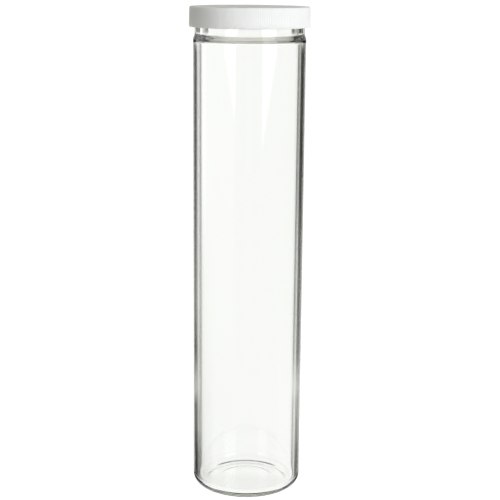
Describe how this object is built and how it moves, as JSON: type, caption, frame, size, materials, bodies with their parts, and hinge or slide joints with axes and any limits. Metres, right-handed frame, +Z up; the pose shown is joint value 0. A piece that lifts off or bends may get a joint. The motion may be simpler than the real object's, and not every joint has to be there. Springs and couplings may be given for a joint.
{
  "type": "specimen jar",
  "caption": "Tall straight-sided clear glass specimen jar with a flat rounded base, a threaded neck, a finely ribbed white screw cap and a foam-core liner.",
  "frame": {"origin": "centre of the base, on the surface the jar stands on", "axes": "+Z up along the jar's axis, -Y towards the viewer, +X to the viewer's right"},
  "size_m": [0.074, 0.074, 0.3053],
  "materials": {
    "jar_glass": "clear, fire-polished",
    "cap_plastic": "white moulded polypropylene, satin",
    "liner_film": "smooth white polyethylene film",
    "liner_foam": "fine-celled white polyethylene foam"
  },
  "bodies": {
    "jar": {"glass_jar": "jar_glass"},
    "liner": {"liner_lower_skin": "liner_film", "liner_foam_core": "liner_foam", "liner_upper_skin": "liner_film"},
    "cap": {"screw_cap": "cap_plastic"}
  },
  "joints": [
    {"name": "cap_rise", "type": "slide", "parent": "jar", "child": "liner", "axis": [0, 0, 1], "range_m": [0, 0.0128]},
    {"name": "cap_turn", "type": "hinge", "parent": "liner", "child": "cap", "pos_m": [0, 0, 0.2992], "axis": [0, 0, 1], "range_deg": [0, 1080]}
  ],
  "couplings": [
    {"joint": "cap_rise", "follows": "cap_turn", "m_per_rad": 0.00067376}
  ]
}
